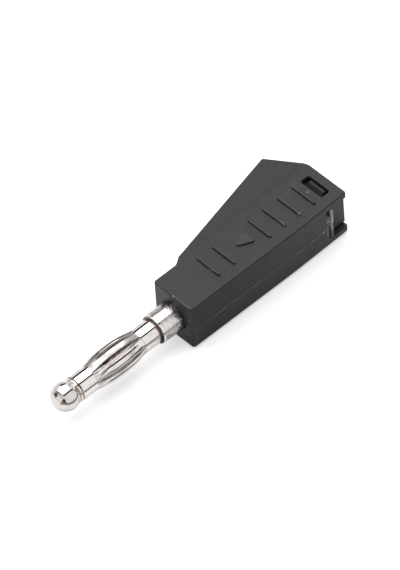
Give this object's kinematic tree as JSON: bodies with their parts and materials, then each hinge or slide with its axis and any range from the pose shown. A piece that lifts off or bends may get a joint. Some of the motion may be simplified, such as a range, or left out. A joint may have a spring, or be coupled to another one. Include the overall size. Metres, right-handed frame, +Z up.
{
  "type": "stackable banana plug",
  "caption": "Stackable 4 mm banana plug with a lantern-spring pin, a wedge-shaped insulated housing, a slanted wire entry and a rear stacking socket.",
  "frame": {"origin": "on the pin axis, in the plane of the housing's front face", "axes": "+X along the pin axis from the pin to the rear socket, +Y towards the wing, +Z up from the ridged face that it lies on"},
  "size_m": [0.0465, 0.012, 0.0076],
  "materials": {
    "housing_plastic": "black moulded thermoplastic, satin, fine grain",
    "insert_plastic": "black moulded thermoplastic, satin",
    "plated_contact": "turned brass, nickel plated, bright",
    "plated_spring": "rolled copper-alloy sheet, nickel plated, bright",
    "screw_steel": "plain zinc-plated steel"
  },
  "bodies": {
    "plug": {"housing_shell": "housing_plastic", "rear_insert": "insert_plastic", "contact_body": "plated_contact"},
    "spring": {"lantern_spring": "plated_spring"},
    "screw": {"clamp_screw": "screw_steel"}
  },
  "joints": [
    {"name": "spring_turn", "type": "hinge", "parent": "plug", "child": "spring", "pos_m": [-0.01015, 0, 0], "axis": [1, 0, 0], "continuous": true},
    {"name": "screw_travel", "type": "slide", "parent": "plug", "child": "screw", "axis": [0, 0, -1], "range_m": [0, 0.001]}
  ]
}
